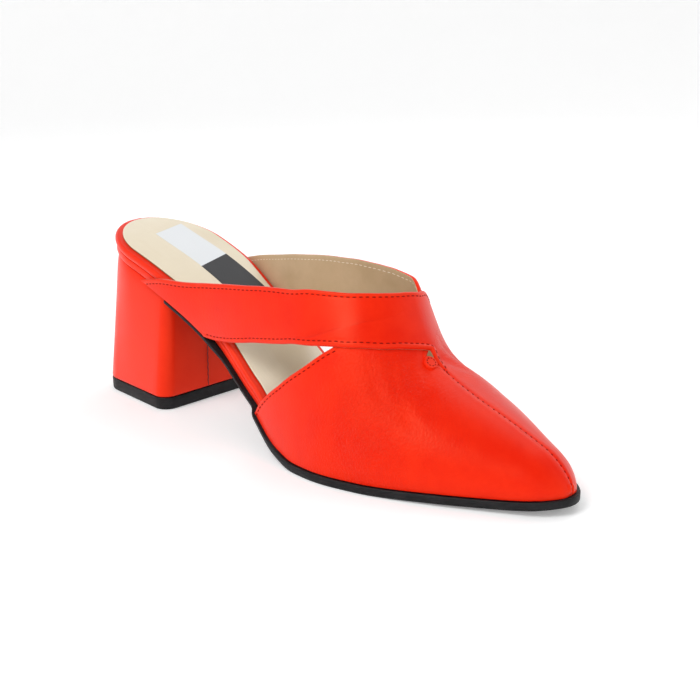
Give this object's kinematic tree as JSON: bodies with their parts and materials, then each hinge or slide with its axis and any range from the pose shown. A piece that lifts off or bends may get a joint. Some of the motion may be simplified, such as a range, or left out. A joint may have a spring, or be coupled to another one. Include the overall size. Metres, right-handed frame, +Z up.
{
  "type": "block heel mule",
  "caption": "Pointed mule on a block heel, its upper two leather pieces that cross over the instep and leave both sides open.",
  "frame": {"origin": "middle of the flat bottom of the heel's top lift, on the floor", "axes": "+X towards the toe, +Y to the medial side, +Z up"},
  "size_m": [0.2434, 0.0779, 0.0768],
  "materials": {
    "red_leather": "smooth semi-gloss",
    "beige_leather": "smooth lining",
    "black_rubber": "satin"
  },
  "bodies": {
    "root": {"upper": "red_leather", "outsole": "black_rubber", "heel": "red_leather", "heel_lift": "black_rubber", "rand": "red_leather", "insole_board": "red_leather", "sock": "beige_leather"}
  },
  "joints": []
}
